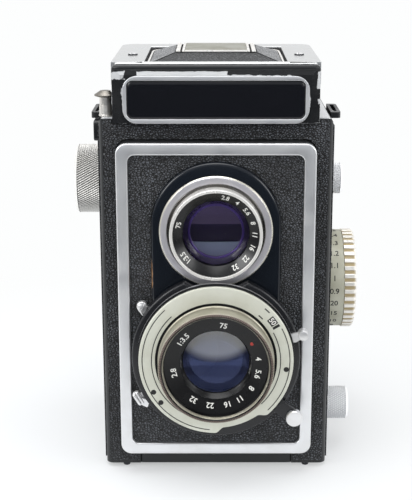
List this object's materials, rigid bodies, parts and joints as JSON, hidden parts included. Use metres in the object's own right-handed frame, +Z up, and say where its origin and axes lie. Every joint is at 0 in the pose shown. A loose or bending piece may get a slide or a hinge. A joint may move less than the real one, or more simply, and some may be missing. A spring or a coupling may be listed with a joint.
{
  "type": "twin lens reflex camera",
  "caption": "Boxy roll film camera with a viewing lens above a taking lens on a focusing board, a folding finder hood, side knobs and a hinged back.",
  "frame": {"origin": "under the middle of the camera, on the surface that its feet stand on", "axes": "+X to the right as seen from in front, +Y from the lenses back to the door, +Z up"},
  "size_m": [0.1018, 0.0948, 0.1432],
  "materials": {
    "black_enamel": "semi gloss black stoving enamel, worn at its edges",
    "gloss_enamel": "glossy black enamel",
    "leatherette": "pebbled charcoal leatherette",
    "satin_aluminium": "satin anodised, with bright bevels",
    "dark_alloy": "dark grey, satin",
    "aged_silver": "matt, slightly yellowed silver",
    "knurled_alloy": "knurled and polished",
    "bright_steel": "turned and polished",
    "spring_steel": "bright drawn",
    "spool_paint": "red brown lacquer",
    "violet_coated_glass": "polished, violet coating",
    "blue_coated_glass": "polished, blue coating",
    "clear_glass": "polished",
    "ground_glass": "ground on one side",
    "silvered_mirror": "silvered front"
  },
  "bodies": {
    "body": {"body_shell": "black_enamel", "body_leatherette": "leatherette", "shoulder_plate": "satin_aluminium", "feet": "dark_alloy", "hood_base": "black_enamel", "nameplate_rim": "satin_aluminium", "nameplate": "gloss_enamel", "focusing_screen": "ground_glass", "reflex_mirror": "silvered_mirror", "chamber_casting": "dark_alloy", "strap_lugs": "black_enamel", "counter_cover": "black_enamel", "bushes": "bright_steel", "release_spring": "spring_steel", "hinge_pins": "bright_steel"},
    "upper_roller": {"film_roller_upper": "bright_steel"},
    "lower_roller": {"film_roller_lower": "bright_steel"},
    "lens_standard": {"lens_board": "black_enamel", "front_frame": "satin_aluminium", "board_leatherette": "leatherette", "lens_panel": "gloss_enamel", "viewing_flange": "satin_aluminium", "viewing_barrel": "dark_alloy", "viewing_name_ring": "gloss_enamel", "viewing_front_lens": "violet_coated_glass", "shutter_case": "dark_alloy", "face_plate": "aged_silver", "taking_bezel": "knurled_alloy", "taking_name_ring": "gloss_enamel", "taking_front_lens": "blue_coated_glass", "taking_rear_lens": "blue_coated_glass", "guide_rods": "bright_steel", "focus_rack": "bright_steel"},
    "sync_control": {"sync_lever": "bright_steel"},
    "speed_control": {"speed_lever": "bright_steel"},
    "cocking_control": {"cocking_lever": "bright_steel"},
    "aperture_control": {"aperture_lever": "bright_steel"},
    "focus_knob": {"focus_dial": "aged_silver", "focus_grip": "knurled_alloy", "focus_shaft": "bright_steel"},
    "winder": {"wind_knob": "knurled_alloy", "wind_shaft": "bright_steel", "take_up_spool": "spool_paint"},
    "upper_knob": {"upper_spool_knob": "knurled_alloy"},
    "lower_knob": {"lower_spool_knob": "knurled_alloy"},
    "release": {"release_button": "knurled_alloy"},
    "lid": {"hood_lid": "satin_aluminium", "lid_leatherette": "leatherette", "lid_tab": "aged_silver", "magnifier_frame": "black_enamel", "magnifier_lens": "clear_glass"},
    "left_leaf": {"hood_left_panel": "black_enamel"},
    "right_leaf": {"hood_right_panel": "black_enamel"},
    "back_leaf": {"hood_back_panel": "black_enamel"},
    "door": {"door_panel": "black_enamel", "door_leatherette": "leatherette", "tripod_bush": "bright_steel", "pressure_springs": "spring_steel"},
    "lock": {"lock_ring": "bright_steel"},
    "film_plate": {"pressure_plate": "black_enamel"}
  },
  "joints": [
    {"name": "focus_slide", "type": "slide", "parent": "body", "child": "lens_standard", "axis": [0, -1, 0], "range_m": [-0.002, 0.005]},
    {"name": "focus_turn", "type": "hinge", "parent": "body", "child": "focus_knob", "pos_m": [0.045, 0.01695, 0.0575], "axis": [1, 0, 0], "range_deg": [-30, 75]},
    {"name": "wind_turn", "type": "hinge", "parent": "body", "child": "winder", "pos_m": [-0.045, 0.03195, 0.092], "axis": [-1, 0, 0], "continuous": true},
    {"name": "upper_knob_pull", "type": "slide", "parent": "body", "child": "upper_knob", "axis": [1, 0, 0], "range_m": [0, 0.006], "stiffness_N_per_m": 150},
    {"name": "lower_knob_pull", "type": "slide", "parent": "body", "child": "lower_knob", "axis": [1, 0, 0], "range_m": [0, 0.006], "stiffness_N_per_m": 150},
    {"name": "release_press", "type": "slide", "parent": "body", "child": "release", "axis": [0, 0, -1], "range_m": [0, 0.0022], "stiffness_N_per_m": 500, "deforming": ["release_spring"]},
    {"name": "sync_set", "type": "hinge", "parent": "lens_standard", "child": "sync_control", "pos_m": [0, -0.03105, 0.0456], "axis": [0, -1, 0], "range_deg": [-10, 15]},
    {"name": "aperture_set", "type": "hinge", "parent": "lens_standard", "child": "aperture_control", "pos_m": [0, -0.03255, 0.0456], "axis": [0, -1, 0], "range_deg": [-25, 25]},
    {"name": "speed_set", "type": "hinge", "parent": "lens_standard", "child": "speed_control", "pos_m": [0, -0.03755, 0.0456], "axis": [0, -1, 0], "range_deg": [-25, 40]},
    {"name": "cocking_swing", "type": "hinge", "parent": "lens_standard", "child": "cocking_control", "pos_m": [0, -0.03855, 0.0456], "axis": [0, -1, 0], "range_deg": [-25, 15]},
    {"name": "lid_open", "type": "hinge", "parent": "body", "child": "lid", "pos_m": [0, -0.02195, 0.1402], "axis": [1, 0, 0], "range_deg": [0, 90]},
    {"name": "left_leaf_rise", "type": "hinge", "parent": "body", "child": "left_leaf", "pos_m": [-0.0306, 0.00095, 0.1287], "axis": [0, -1, 0], "range_deg": [0, 90]},
    {"name": "right_leaf_rise", "type": "hinge", "parent": "body", "child": "right_leaf", "pos_m": [0.0306, 0.00095, 0.1287], "axis": [0, 1, 0], "range_deg": [0, 90]},
    {"name": "back_leaf_rise", "type": "hinge", "parent": "body", "child": "back_leaf", "pos_m": [0, 0.03155, 0.1321], "axis": [-1, 0, 0], "range_deg": [0, 90]},
    {"name": "door_open", "type": "hinge", "parent": "body", "child": "door", "pos_m": [0, 0.04585, 0.1213], "axis": [1, 0, 0], "range_deg": [0, 100]},
    {"name": "lock_turn", "type": "hinge", "parent": "door", "child": "lock", "pos_m": [0, 0.01795, 0.001], "axis": [0, 0, 1], "range_deg": [0, 90]},
    {"name": "film_plate_give", "type": "slide", "parent": "door", "child": "film_plate", "axis": [0, 1, 0], "range_m": [0, 0.0008], "stiffness_N_per_m": 700, "deforming": ["pressure_springs"]},
    {"name": "upper_roller_spin", "type": "hinge", "parent": "body", "child": "upper_roller", "pos_m": [0, 0.03775, 0.0774], "axis": [1, 0, 0], "continuous": true},
    {"name": "lower_roller_spin", "type": "hinge", "parent": "body", "child": "lower_roller", "pos_m": [0, 0.03775, 0.0128], "axis": [1, 0, 0], "continuous": true}
  ],
  "couplings": [
    {"joint": "focus_turn", "follows": "focus_slide", "rad_per_m": 250},
    {"joint": "left_leaf_rise", "follows": "lid_open", "ratio": 1},
    {"joint": "right_leaf_rise", "follows": "lid_open", "ratio": 1},
    {"joint": "back_leaf_rise", "follows": "lid_open", "ratio": 1}
  ]
}
